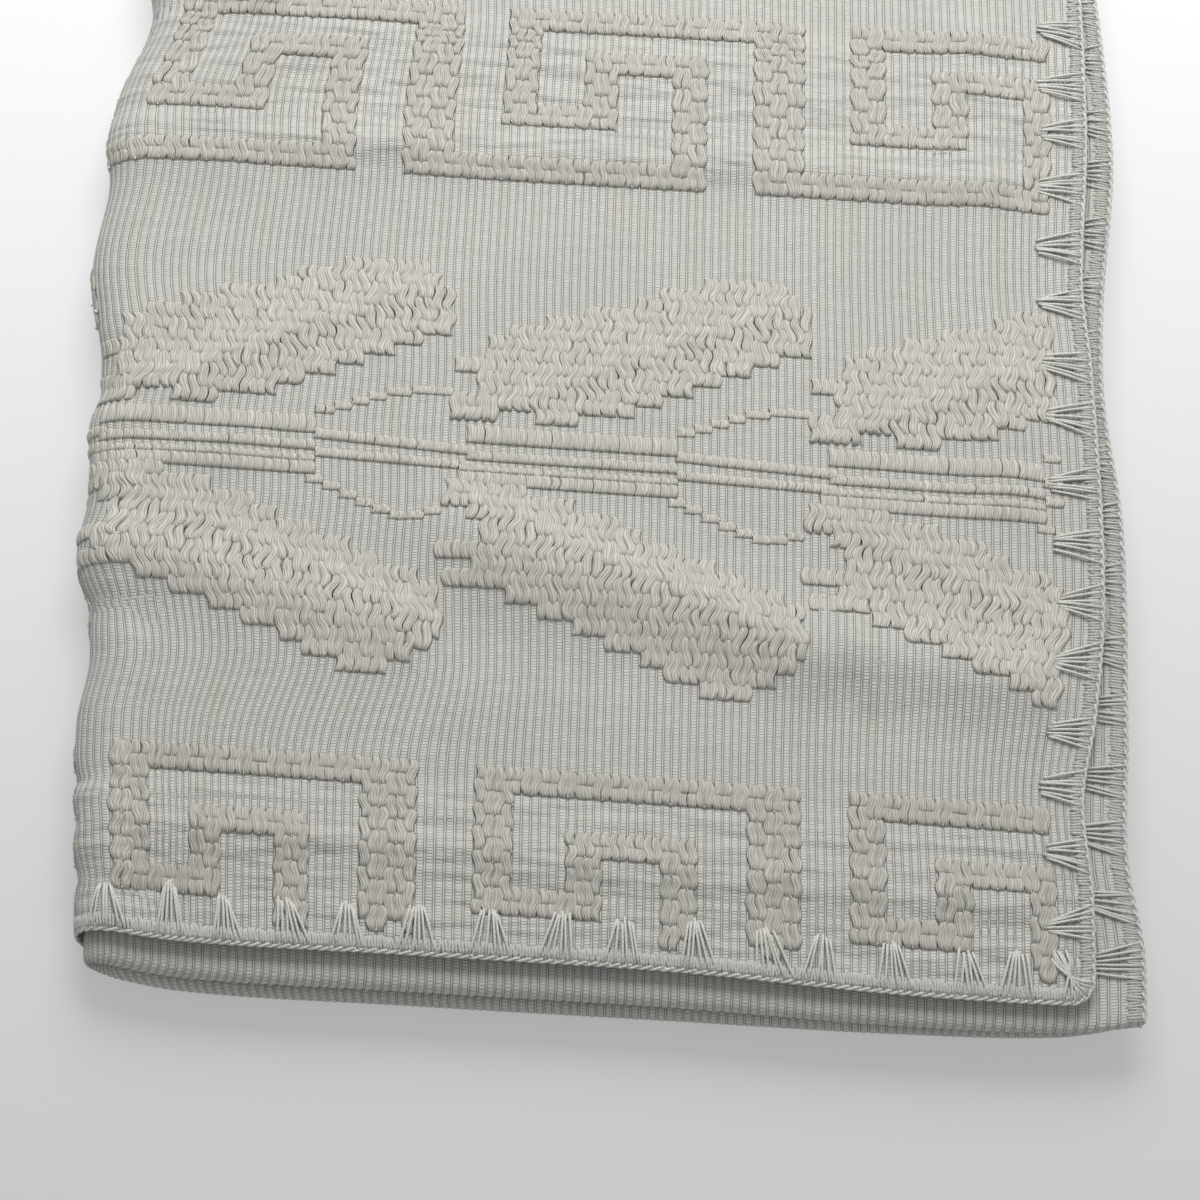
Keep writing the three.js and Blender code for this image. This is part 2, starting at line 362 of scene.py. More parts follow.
class Shader:
    """A socket that takes part in sums, so that a pattern reads as arithmetic."""

    def __init__(self, tree, socket):
        self.tree = tree
        self.socket = socket

    def node(self, kind, settings=None, **inputs):
        """A new node of that kind. Inputs are named by socket, with spaces as underscores, or as i0, i1."""
        made = self.tree.nodes.new(kind)
        for key, value in (settings or {}).items():
            setattr(made, key, value)
        for key, value in inputs.items():
            socket = made.inputs[int(key[1:]) if key[1:].isdigit() else key.replace("_", " ")]
            if isinstance(value, Shader):
                self.tree.links.new(value.socket, socket)
            else:
                socket.default_value = value
        return made

    def out(self, kind, settings=None, output=0, **inputs):
        return Shader(self.tree, self.node(kind, settings, **inputs).outputs[output])

    def math(self, operation, *values):
        inputs = {f"i{k}": value for k, value in enumerate(values)}
        return self.out("ShaderNodeMath", {"operation": operation}, **inputs)

    def __add__(self, other):
        return self.math("ADD", self, other)

    __radd__ = __add__

    def __sub__(self, other):
        return self.math("SUBTRACT", self, other)

    def __rsub__(self, other):
        return self.math("SUBTRACT", other, self)

    def __mul__(self, other):
        return self.math("MULTIPLY", self, other)

    __rmul__ = __mul__

    def sin(self):
        return self.math("SINE", self)

    def abs(self):
        return self.math("ABSOLUTE", self)

    def fract(self):
        return self.math("FRACT", self)

    def floor(self):
        return self.math("FLOOR", self)

    def rises(self, low, high):
        """0 below low, 1 above high and smooth between."""
        settings = {"interpolation_type": "SMOOTHSTEP"}
        return self.out("ShaderNodeMapRange", settings, Value=self, From_Min=low, From_Max=high)

    def at(self, x, y, z=0.0):
        return self.out("ShaderNodeCombineXYZ", None, X=x, Y=y, Z=z)

    def noise(self, where, scale, detail=2.0):
        return self.out("ShaderNodeTexNoise", None, Vector=where, Scale=scale, Detail=detail)

    def tinted(self, share, low, high):
        """A colour between two others."""
        settings = {"data_type": "RGBA", "clamp_factor": True}
        made = self.node("ShaderNodeMix", settings)
        for socket, value in zip((made.inputs[0], made.inputs[6], made.inputs[7]), (share, low, high)):
            if isinstance(value, Shader):
                self.tree.links.new(value.socket, socket)
            else:
                socket.default_value = value
        return Shader(self.tree, made.outputs[2])


def copies(faces, step, many):
    """The faces of a stitch, for that many copies of it with that many vertices each."""
    return [tuple(i + k * step for i in face) for k in range(many) for face in faces]


def new_material(name, **surface):
    """A material with a plain Principled surface: the material, a Shader on its tree and the surface."""
    material = bpy.data.materials.new(name)
    material.use_nodes = True
    tree = material.node_tree
    surface_node = tree.nodes["Principled BSDF"]
    for key, value in surface.items():
        surface_node.inputs[key.replace("_", " ")].default_value = value
    return material, Shader(tree, None), surface_node


def finish_surface(shader, surface, colour, height, relief=1.0):
    """Links a colour and a height to the surface. The relief is a height of 1 in millimetres."""
    bump = shader.node("ShaderNodeBump", None, Height=height, Distance=relief * MM, Strength=1.0)
    shader.tree.links.new(colour.socket, surface.inputs["Base Color"])
    shader.tree.links.new(bump.outputs[0], surface.inputs["Normal"])


def map_places(shader, name):
    """The two coordinates of a UV map."""
    place = shader.node("ShaderNodeSeparateXYZ", None, Vector=shader.out("ShaderNodeUVMap", {"uv_map": name}))
    return Shader(shader.tree, place.outputs[0]), Shader(shader.tree, place.outputs[1])


def darker(colour, share):
    """That share of a colour, and a lighter colour where the share is over 1."""
    return tuple(c * share for c in colour[:3]) + (1.0,)


# ---------------------------------------------------------------- materials


def woven_cotton(settings):
    """The ribbed ground: thick cords with a thin thread in each groove, crossed by fine weft."""
    material, s, surface = new_material("woven_cotton", Roughness=0.9, Sheen_Weight=0.12, Sheen_Roughness=0.5)
    u, v = (place * size for place, size in zip(map_places(s, "cloth"), (WIDTH, LENGTH)))
    column = (u - FIRST_COLUMN_U) * (MM / settings.rib_pitch)
    index = column.floor()
    from_groove = 0.5 - (column.fract() - 0.5).abs()
    uneven = s.noise(s.at(index * 3.7, v * 0.35, 0.0), 1.0, 2.0)
    # Painted shade: thin dark lines on either side of the thread in each groove, in the groove colour
    line_place = 0.085 + uneven * 0.05
    line = 1 - (from_groove - line_place).abs().rises(0.02, 0.06)
    cord = from_groove.rises(0.1, 0.3)
    picks = ((v * (math.pi / PICK)) + index * 1.9 + uneven * 3.0).sin().abs()
    yarn = s.noise(s.at(index * 7.3, v * 0.006, 5.0), 1.0, 1.0)
    broad = s.noise(s.at(u * 0.02, v * 0.02, 9.0), 1.0, 2.0)
    wrinkle = s.noise(s.at(u * 0.04, v * 0.17, 3.0), 1.0, 1.5)
    banded = sum((1 - (v - middle).abs().rises(22.0, 32.0) for middle in WRINKLED_V), start=broad * 0.0)
    ground = s.tinted(yarn.rises(0.4, 0.7), settings.ground_colour, settings.ground_tint)
    mottled = s.tinted(broad.rises(0.3, 0.75), ground, darker(settings.ground_colour, 0.93))
    beads = picks.rises(0.25, 0.85)
    # Painted shade: the cords darken between the weft beads, mixed with some random unevenness of the cotton
    bead_shaded = s.tinted((1 - beads) * 0.7 * cord + uneven * 0.3, mottled, darker(settings.ground_colour, 0.68))
    colour = s.tinted(line * (0.3 + uneven * 0.85), bead_shaded, settings.groove_colour)
    height = cord * 0.1 - line * 0.2 + beads * cord * 0.14 + uneven * 0.12
    height = height + wrinkle * (banded * 2.6 + 0.5)
    finish_surface(s, surface, colour, height)
    return material


def soft_yarn(name, settings, share=1.0):
    """The thick soft yarn of the floats: a few loose strands side by side, with painted shade along the edges
    of each float and in the grooves between its strands. A share under 1 darkens the whole yarn as painted
    shade.
    """
    material, s, surface = new_material(name, Roughness=0.88, Sheen_Weight=0.2, Sheen_Roughness=0.45)
    across, length = map_places(s, "yarn")
    tone = s.out("ShaderNodeAttribute", {"attribute_name": "tone"}, output=2)
    drift = s.noise(s.at(across * 1.6, length * 1.2, tone * 40.0), 1.0, 2.0)
    strands = ((across * 3.6 + drift * 2.4) * math.pi).sin().abs()
    fine = ((across * 13.0 + drift * 4.0) * math.pi).sin().abs()
    warm = s.tinted(tone, darker(settings.yarn_colour, share), darker(settings.yarn_tint, share))
    # Painted shade: the yarn darkens towards each float's edges, where neighbouring floats meet, and in the
    # grooves between its strands and fibres
    edge = (across - 0.5).abs().rises(0.36, 0.45)
    strand_gap_shade = (1 - strands.rises(0.0, 0.6)) * (0.2 + drift) + edge
    colour = s.tinted(strand_gap_shade * 0.75 + (1 - fine) * 0.15, warm, darker(settings.yarn_colour, 0.42))
    finish_surface(s, surface, colour, strands * 0.26 + fine * 0.05)
    return material


def crochet_cotton(name, settings, share=1.0):
    """Crochet cotton: a loose twist of two plies, slightly shiny."""
    material, s, surface = new_material(name, Roughness=0.75, Sheen_Weight=0.2, Sheen_Roughness=0.4)
    around, length = map_places(s, "thread")
    plies = ((around + length * 0.35) * (2 * math.pi)).sin().abs()
    tone = s.noise(s.at(length * 0.05, around * 0.3, 2.0), 1.0, 2.0)
    thread = darker(settings.thread_colour, share)
    light = s.tinted(tone.rises(0.3, 0.7), thread, darker(thread, 0.9))
    # Painted shade: the thread darkens in the groove between its two plies
    colour = s.tinted((1 - plies) * 0.25, light, darker(thread, 0.6))
    finish_surface(s, surface, colour, plies * 0.07)
    return material


# ---------------------------------------------------------------- the cloth

GROOVE_AND_CORD = ((0.0, 0.25), (0.28, 0.5), (0.72, 0.5))  # phase in a rib, and the height there
PLAIN_HEIGHT = 0.45  # and between ribbed stretches
BACK_RELIEF = 0.25  # the back's ribs stand out this much more
RIBBED_EDGE = 0.4  # the ribs stop this far from the cloth's edge


def rib_lines(start, end):
    """Lines across the cloth on the grooves and cords between two places, with the height at each."""
    first = math.floor((start - FIRST_COLUMN_U) / RIB)
    last = math.ceil((end - FIRST_COLUMN_U) / RIB)
    lines = [
        (FIRST_COLUMN_U + (k + phase) * RIB, height)
        for k in range(first, last)
        for phase, height in GROOVE_AND_CORD
    ]
    return [(u, height) for u, height in lines if start < u < end]


def plain_lines(start, end, step):
    """Even lines between two places across the cloth, without ribs."""
    count = max(round((end - start) / step), 1)
    return [(start + (end - start) * k / count, PLAIN_HEIGHT) for k in range(1, count)]


def across_cloth(*stretches):
    """All lines across one row, edge to edge, from stretches that follow each other."""
    lines = [(0.0, PLAIN_HEIGHT)]
    for stretch in stretches:
        lines += stretch
    return np.array(sorted(lines + [(WIDTH, PLAIN_HEIGHT)]))


MARGIN = 22.0  # ribbed edge of the layers that show only at the open side
TOP_ROW = across_cloth(plain_lines(0, RUN, 3.3), rib_lines(RUN, WIDTH - RIBBED_EDGE))
RIBBED_ROW = across_cloth(rib_lines(RIBBED_EDGE, WIDTH - RIBBED_EDGE))
HIDDEN_ROW = across_cloth(
    rib_lines(RIBBED_EDGE, MARGIN),
    plain_lines(MARGIN, RUN, 10),
    plain_lines(RUN, FLOOR_SIDE, 4),
    plain_lines(FLOOR_SIDE, WIDTH - MARGIN, 10),
    rib_lines(WIDTH - MARGIN, WIDTH - RIBBED_EDGE),
)


def rows_along(start, end, step, lines):
    """Rows from start up to, but not at, end."""
    count = max(round((end - start) / step), 1)
    return [(start + (end - start) * k / count, lines) for k in range(count)]


FACE_ROWS = [
    *rows_along(0, TOP_LENGTH, 3.25, TOP_ROW),
    *rows_along(TOP_LENGTH, MIDDLE_V + 1, 1.3, RIBBED_ROW),
    *rows_along(MIDDLE_V + 6, INNER_V - FOLD_LENGTH, 12, HIDDEN_ROW),
    *rows_along(INNER_V - FOLD_LENGTH, INNER_V, 2, HIDDEN_ROW),
    *rows_along(INNER_V, LENGTH, 12, HIDDEN_ROW),
    (LENGTH, HIDDEN_ROW),
]
BACK_ROWS = [
    *rows_along(0, TOP_LENGTH, 8, HIDDEN_ROW),
    *rows_along(TOP_LENGTH, MIDDLE_V, 2, HIDDEN_ROW),
    *rows_along(MIDDLE_V, INNER_V - FOLD_LENGTH - 15, 8, HIDDEN_ROW),
    *rows_along(INNER_V - FOLD_LENGTH - 10, INNER_V - FOLD_LENGTH, 3, RIBBED_ROW),
    *rows_along(INNER_V - FOLD_LENGTH, INNER_V + 1, 1.0, RIBBED_ROW),
    *rows_along(INNER_V + 6, LENGTH, 12, HIDDEN_ROW),
    (LENGTH, HIDDEN_ROW),
]


def rounded(u, v):
    """The flat cloth's square corners, eased to its round ones."""
    from_side = np.minimum(u, WIDTH - u)
    from_end = np.minimum(v, LENGTH - v)
    a = np.clip(1 - from_side / CORNER, 0, 1)
    b = np.clip(1 - from_end / CORNER, 0, 1)
    ease = np.maximum(a, b) / np.maximum(np.hypot(a, b), 1e-9)
    ease = np.where((a > 0) & (b > 0), ease, 1)
    new_u = from_side + CORNER * a * (1 - ease)
    new_v = from_end + CORNER * b * (1 - ease)
    return np.where(u < WIDTH / 2, new_u, WIDTH - new_u), np.where(v < LENGTH / 2, new_v, LENGTH - new_v)


def woven_shell(thickness):
    """Points, cloth places and faces of the closed sheet: its face, its back and the narrow edge between."""
    us, vs, hs, face_index, back_index = [], [], [], [], []
    count = 0
    for rows, index, top in ((FACE_ROWS, face_index, True), (BACK_ROWS, back_index, False)):
        for v, lines in rows:
            us.append(lines[:, 0])
            vs.append(np.full(len(lines), v))
            relief = lines[:, 1] - thickness / 2
            hs.append(relief if top else -relief - BACK_RELIEF)
            index.append(np.arange(count, count + len(lines)))
            count += len(lines)
    u, v = rounded(np.concatenate(us), np.concatenate(vs))
    faces = []
    for rows, index, turn in ((FACE_ROWS, face_index, list), (BACK_ROWS, back_index, flipped)):
        for k in range(len(rows) - 1):
            here, there = rows[k][1][:, 0], rows[k + 1][1][:, 0]
            faces += turn(between(index[k], here, index[k + 1], there))
    face_v, back_v = ([v for v, _ in rows] for rows in (FACE_ROWS, BACK_ROWS))
    for end, turn in ((0, list), (-1, flipped)):
        lines = [rows[end][1][:, 0] for rows in (BACK_ROWS, FACE_ROWS)]
        faces += turn(between(back_index[end], lines[0], face_index[end], lines[1]))
    for side, turn in ((-1, list), (0, flipped)):
        back_line = [row[side] for row in back_index]
        face_line = [row[side] for row in face_index]
        faces += turn(between(back_line, back_v, face_line, face_v))
    return u, v, np.concatenate(hs), [tuple(int(i) for i in face) for face in faces]


# ---------------------------------------------------------------- the floats

# One repeat of each motif, charted row by row from the back of the cloth to its front. A row lists the
# stretches of columns that the soft yarn covers.
KEY_CHART = [
    *[[(0, 37)]] * 2,
    *[[(0, 4), (31, 37)]] * 3,
    *[[(0, 4), (10, 25), (31, 37)]] * 2,
    *[[(0, 4), (10, 14), (21, 25), (31, 37)]] * 3,
    *[[(0, 14), (21, 25), (31, 37)]] * 2,
    *[[(21, 25), (31, 37)]] * 3,
    *[[(31, 68)]] * 2,
]
KEY_BANDS = [(56.0, 36.5, 17.0, -2.5), (333.0, 317.0, 295.0, 273.5)]  # v of the four bars of each band
BAR_HALF = 4.1  # half the height of a bar
UPPER_WING = [
    [(25, 35)], [(20, 37)], [(17, 38)], [(11, 38)], [(6, 38)], [(2, 38)], [(-1, 34)], [(-1, 31)],
    [(-5, 27)], [(-2, 24)], [(-2, 20)], [(-5, 17)], [(-5, 1), (5, 10)],
]  # fmt: skip
LOWER_WING = [
    [(-6, 4)], [(-6, 10)], [(-3, 15)], [(-1, 18)], [(-1, 22)], [(-6, 27)], [(-2, 30)], [(-5, 35)],
    [(2, 37)], [(6, 37)], [(10, 37)], [(14, 37)], [(18, 36)], [(21, 34)], [(25, 31)],
]  # fmt: skip
UPPER_WING_V = (235.5, 178.9)  # from its first row to its last
LOWER_WING_V = (156.1, 88.6)
WING_START = 6  # a wing begins this many columns before its repeat
# The quill of a wing: its row in the repeat's first column, its rows for each column, and the sway there
UPPER_QUILL = (12.4, -0.29, -1.6)
LOWER_QUILL = (2.3, 0.247, 1.9)
NO_QUILL = (99, 0, 0)
# Cords across the motif: first and last column, v of the middle at each, height of a stitch along v
CORDS = [
    (-3, 22, 173.3, 173.0, 5.6),
    (-3, 22, 165.6, 165.6, 2.8),
    (-4, 22, 160.9, 160.9, 2.0),
    (-4, 22, 157.7, 157.7, 4.2),
    (22, 41, 169.8, 167.3, 2.9),
    (22, 41, 163.2, 161.9, 2.6),
]
# Short floats round the lozenge, as (first column, columns, v)
LOZENGE = [
    (22, 2, 178.6), (24, 2, 180.4), (26, 2, 182.6), (28, 2, 184.7), (30, 3, 186.8), (33, 5, 188.1),
    (21, 2, 153.6), (23, 2, 151.6), (25, 2, 149.0), (27, 2, 146.6), (29, 2, 144.6), (31, 2, 142.9),
    (33, 2, 143.2), (35, 2, 144.8),
]  # fmt: skip
LOZENGE_STITCH = 2.3
LOZENGE_FULLNESS = 0.7

# A float is kept as its column, its side in its pair, the v of its front and back ends, its fullness, its
# first row, its rows, its rows before the quill and its sway at the quill
COLUMN, SIDE, FRONT_V, BACK_V = range(4)
ROWS = 6

WINGS_V = (80.0, 245.0)  # between the two bands of keys
HEM_CLEAR = 4.0  # floats stop this far from the hem
SIDE_CLEAR = 11.0  # and this far from the open side
LOWER_CLEAR = 5  # and, on the lower half, this many columns from it
UPPER_START = RUN + 4  # and the upper half's floats begin here


def key_edges(bars):
    """v of the row edges of a band of keys: two rows to a bar, and three between two bars."""
    edges = []
    for bar, following in zip(bars, [*bars[1:], None]):
        edges += [bar + BAR_HALF, bar]
        if following is not None:
            gap = bar - following - 2 * BAR_HALF
            edges += [bar - BAR_HALF, bar - BAR_HALF - gap / 3, bar - BAR_HALF - 2 * gap / 3]
    return np.array([*edges, bars[-1] - BAR_HALF])


def brick_floats(chart, edges, first_column, last_column, quill=NO_QUILL):
    """Floats for a charted motif, repeated across the cloth. Columns go in pairs, a float spans two rows,
    and every other pair is a row out of step, like bricks; at the motif's edge a float spans one row."""
    quill_row, quill_slope, pull = quill
    covered = set()
    for row, stretches in enumerate(chart):
        for start, end in stretches:
            for shift in SHIFTS:
                columns = range(start + shift, end + shift)
                covered.update((column, row) for column in columns if first_column <= column < last_column)
    floats = []
    for column, row in sorted(covered):
        odd_pair = (column // 2) % 2
        starts_here = row % 2 == odd_pair
        if not starts_here and (column, row - 1) in covered:
            continue
        rows = 2 if starts_here and (column, row + 1) in covered else 1
        in_repeat = (column + WING_START) % REPEAT - WING_START
        before = in_repeat * quill_slope + quill_row - row
        side = 2 * (column % 2) - 1
        floats.append((column, side, edges[row + rows], edges[row], 1.0, row, rows, before, pull))
    return floats


def cord_floats(first_column, last_column):
    """Short floats side by side: the cords along the motif and the outline of the lozenge."""
    far_row, _, pull = NO_QUILL
    floats = []
    for shift in SHIFTS:
        for start, end, first_v, last_v, stitch in CORDS:
            for column in range(start, end):
                middle = first_v + (last_v - first_v) * (column - start) / (end - start)
                low, high = middle - stitch / 2, middle + stitch / 2
                floats.append((column + shift, 0, low, high, 1.0, 0, 1, far_row, pull))
        for start, count, middle in LOZENGE:
            for column in range(start, start + count):
                low, high = middle - LOZENGE_STITCH / 2, middle + LOZENGE_STITCH / 2
                floats.append((column + shift, 0, low, high, LOZENGE_FULLNESS, 0, 1, far_row, pull))
    return [one for one in floats if first_column <= one[COLUMN] < last_column]


def all_floats(first_column, last_column):
    """The floats of every motif between two columns."""
    args = (first_column, last_column)
    floats = []
    for bars in KEY_BANDS:
        floats += brick_floats(KEY_CHART, key_edges(bars), *args)
    for chart, (start, end), quill in (
        (UPPER_WING, UPPER_WING_V, UPPER_QUILL),
        (LOWER_WING, LOWER_WING_V, LOWER_QUILL),
    ):
        floats += brick_floats(chart, np.linspace(start, end, len(chart) + 1), *args, quill)
    floats += cord_floats(*args)
    return np.array([one for one in floats if one[FRONT_V] > HEM_CLEAR])


# How the yarn lies, for keys and cords, and then for wings
SWAY = (0.55, 0.78)  # from side to side, row by row
OVERLAP = (0.3, 0.6)  # past its own row, at each end
DIP = (0.44, 0.32)  # the share of its height that it loses between rows
# And for all of them
WANDER = 0.08
BULGE = (0.06, 0.2)  # how far a pair of floats parts, and how much more over two rows
YARN_HALF = RIB / 2 + 0.3
QUILL_HALF = 1.1  # rows
QUILL_RIDGE = (0.35, 0.4, 0.8)  # its share of the height, and its place before the quill and width in rows
SIDE_FOLD_FLAT = (0.45, 2, 26)  # the least height there, and how far from the tip it begins and stops rising


def float_stitch(across, along_it):
    """One float, modelled once: places across it and along it from -1 to 1, its rise, and its faces. The
    underside is one strip of quads."""
    s, t = np.meshgrid(np.linspace(-1, 1, across + 1), np.linspace(-1, 1, along_it + 1))
    rows = [list(range(k * (across + 1), (k + 1) * (across + 1))) for k in range(along_it + 1)]
    faces = []
    for low, high in zip(rows[:-1], rows[1:]):
        faces += zip(low[:-1], low[1:], high[1:], high[:-1])
        faces.append((low[0], high[0], high[-1], low[-1]))
    faces.append(tuple(reversed(rows[0])))
    faces.append(tuple(rows[-1]))
    return s.ravel(), t.ravel(), faces


def laid_floats(name, floats, across, along_it, flute, material, rng):
    """Every float of a list, copied from one stitch and joined into a piece. Each row of the weave rolls
    over towards the front, and the two floats of a pair draw together where they are tied down."""
    s, t, faces = float_stitch(across, along_it)
    column, side, low, high, fullness, row, rows, before, pull = floats.T[:, :, None]
    length = high - low
    many = len(floats)
    tone = 0.5 + 0.35 * np.sin(0.55 * column + 1.5 * np.sin(0.9 * row + 0.4 * column))
    tone = tone + 0.15 * rng.normal(size=(many, 1))
    sway = np.where(pull == 0, *SWAY) * (1 + 0.2 * rng.normal(size=(many, 1)))
    wander = WANDER * rng.normal(size=(many, 1))
    gone = (1 - t) / 2 * rows  # rows from the float's back end
    bulge = (BULGE[0] + BULGE[1] * (rows - 1)) * np.cos(math.pi * t)
    half_width = (YARN_HALF + bulge * np.abs(side)) * (1 - 0.16 * t**8)
    u = FIRST_COLUMN_U + (column + 0.5) * RIB + side * bulge + sway * np.sin(math.pi * (row + gone)) + wander
    off_quill = gone - before
    u = u + pull * np.exp(-((off_quill / QUILL_HALF) ** 2)) + s * half_width
    v = (low + high) / 2 + t * (length / 2 + np.where(pull == 0, *OVERLAP))
    roll = np.sin(math.pi * np.mod(gone, 1) ** 1.35) ** 0.7
    dip = np.where(pull == 0, *DIP)
    crest = (1 - dip + dip * roll) * (1 - 0.48 * dip * t**8)
    least, begins, stops = SIDE_FOLD_FLAT
    settled = least + (1 - least) * smoothstep(begins, stops, np.abs(u - WIDTH / 2))
    share, before_it, half = QUILL_RIDGE
    ridge = 1 + share * np.exp(-(((off_quill + before_it) / half) ** 2)) * (pull != 0)
    rise = fullness * ridge * settled * (1 + 0.09 * rng.normal(size=(many, 1)))
    fluted = flute * np.cos(3 * math.pi * s) * (1 - t * t) * (np.abs(s) < 0.99)
    h = -0.05 + np.maximum(np.maximum(1 - s * s, 0) ** 0.42 * crest * rise + fluted, 0)
    step = len(s)
    yarn_map = np.stack([np.broadcast_to(s, u.shape), np.broadcast_to(t * length / 9, u.shape)], -1)
    maps = {"yarn": (yarn_map.reshape(-1, 2) + 1) / 2}
    numbers = {"tone": np.repeat(tone.ravel(), step)}
    return new_piece(name, placed(u, v, h), copies(faces, step, many), material, maps, numbers)


TIE = ((0, -1), (0.9, -0.3), (0.7, 0.6), (0, 1), (-0.7, 0.6), (-0.9, -0.3))  # its outline from above
TIE_SIZE = (0.34, 0.75)  # half of it across and along the cloth
TIE_RISE = (0.1, 0.8, 0.98)  # at its outline, half way in and in the middle
TIE_THREAD = 400  # its thread's scale on the whole cloth


def tie_stitches(name, floats, material, rng):
    """The small stitches that hold a pair of floats down, one in front of every pair."""
    held = floats[(floats[:, SIDE] < 0) & (floats[:, ROWS] > 1)]
    out_u, out_v = (np.array(TIE) * TIE_SIZE).T
    count = len(TIE)
    pair_middle = held[:, COLUMN, None] + 1
    u = FIRST_COLUMN_U + pair_middle * RIB + out_u + 0.1 * rng.normal(size=(len(held), 1))
    v = held[:, FRONT_V, None] + out_v
    middle_u = u.mean(1, keepdims=True)
    middle_v = v.mean(1, keepdims=True)
    all_u = np.hstack([u, middle_u + (u - middle_u) * 0.5, middle_u])
    all_v = np.hstack([v, middle_v + (v - middle_v) * 0.5, middle_v])
    h = np.repeat(TIE_RISE, [count, count, 1]) + 0 * all_u
    ring = range(count)
    faces = [(k, (k + 1) % count, (k + 1) % count + count, k + count) for k in ring]
    faces += [(k + count, (k + 1) % count + count, 2 * count) for k in ring]
    faces.append(tuple(reversed(ring)))
    joined = copies(faces, 2 * count + 1, len(held))
    maps = {"thread": np.stack([all_u / WIDTH, all_v / LENGTH], -1).reshape(-1, 2) * TIE_THREAD}
    return new_piece(name, placed(all_u, all_v, h), joined, material, maps)


# ---------------------------------------------------------------- the crochet


def rim(distance):
    """Places round the edge of the flat cloth: u, v and the direction that points away from the cloth."""
    straight_u, straight_v, arc = WIDTH - 2 * CORNER, LENGTH - 2 * CORNER, CORNER * math.pi / 2
    bounds = np.cumsum([0, straight_u, arc, straight_v, arc, straight_u, arc, straight_v, arc])
    distance = np.mod(distance, bounds[-1])
    u, v, out_u, out_v = (np.zeros_like(distance, dtype=float) for _ in range(4))
    sides = [
        (0, (CORNER, 0), (1, 0)),
        (2, (WIDTH, CORNER), (0, 1)),
        (4, (WIDTH - CORNER, LENGTH), (-1, 0)),
        (6, (0, LENGTH - CORNER), (0, -1)),
    ]
    for k, (start_u, start_v), (run_u, run_v) in sides:
        on_side = (distance >= bounds[k]) & (distance < bounds[k + 1])
        gone = distance - bounds[k]
        u = np.where(on_side, start_u + run_u * gone, u)
        v = np.where(on_side, start_v + run_v * gone, v)
        out_u = np.where(on_side, run_v, out_u)
        out_v = np.where(on_side, -run_u, out_v)
        on_corner = (distance >= bounds[k + 1]) & (distance <= bounds[k + 2])
        angle = np.arctan2(-run_u, run_v) + (distance - bounds[k + 1]) / CORNER
        end_u = start_u + run_u * (bounds[k + 1] - bounds[k]) - CORNER * run_v
        end_v = start_v + run_v * (bounds[k + 1] - bounds[k]) + CORNER * run_u
        u = np.where(on_corner, end_u + CORNER * np.cos(angle), u)
        v = np.where(on_corner, end_v + CORNER * np.sin(angle), v)
        out_u = np.where(on_corner, np.cos(angle), out_u)
        out_v = np.where(on_corner, np.sin(angle), out_v)
    return u, v, out_u, out_v


RIM_LENGTH = 2 * (WIDTH + LENGTH - 4 * CORNER) + 2 * math.pi * CORNER


def thread_piece(name, lines, radius, sides, closed, material):
    """A piece of round threads that follow lines of flat places, one thread a line. lines has the shape
    (threads, points, 3). A closed line is a ring, and the others have capped ends."""
    threads, count, _ = lines.shape
    centres = placed(lines[..., 0], lines[..., 1], lines[..., 2]).reshape(threads, count, 3)
    if closed:
        ahead = np.roll(centres, -1, 1) - np.roll(centres, 1, 1)
    else:
        ahead = np.gradient(centres, axis=1)
    ahead /= np.linalg.norm(ahead, axis=-1, keepdims=True)
    upward = placed(lines[..., 0], lines[..., 1], lines[..., 2] + 1).reshape(centres.shape) - centres
    upward /= np.maximum(np.linalg.norm(upward, axis=-1, keepdims=True), 1e-9)
    sideways = np.cross(ahead, upward)
    sideways /= np.maximum(np.linalg.norm(sideways, axis=-1, keepdims=True), 1e-9)
    upward = np.cross(sideways, ahead)
    angle = np.arange(sides) / sides * 2 * math.pi
    round_it = sideways[:, :, None] * np.cos(angle)[:, None] + upward[:, :, None] * np.sin(angle)[:, None]
    points = (centres[:, :, None] + radius * MM * round_it).reshape(-1, 3)
    points[:, 2] = np.maximum(points[:, 2], 0)
    rings = np.arange(threads * count * sides).reshape(threads, count, sides)
    following = np.roll(rings, -1, 1) if closed else rings[:, 1:]
    here = rings if closed else rings[:, :-1]
    quads = np.stack([here, np.roll(here, -1, 2), np.roll(following, -1, 2), following], -1)
    faces = [tuple(quad) for quad in quads.reshape(-1, 4).tolist()]
    if not closed:
        faces += [tuple(ring) for ring in rings[:, 0, ::-1].tolist()]
        faces += [tuple(ring) for ring in rings[:, -1].tolist()]
    gone = np.linalg.norm(np.diff(centres, axis=1), axis=-1).cumsum(1) / MM
    gone = np.concatenate([np.zeros((threads, 1)), gone], 1)[..., None]
    around = np.broadcast_to(np.arange(sides) / sides, (threads, count, sides))
    thread_map = np.stack([around, gone + 0 * angle], -1).reshape(-1, 2)
    return new_piece(name, points, faces, material, {"thread": thread_map})


CHAIN_POINTS = 8  # in one twist of the chain
CHAIN_GAP = 0.2  # from the cloth's edge
CHAIN_FULL = 1.08  # the strands press into each other


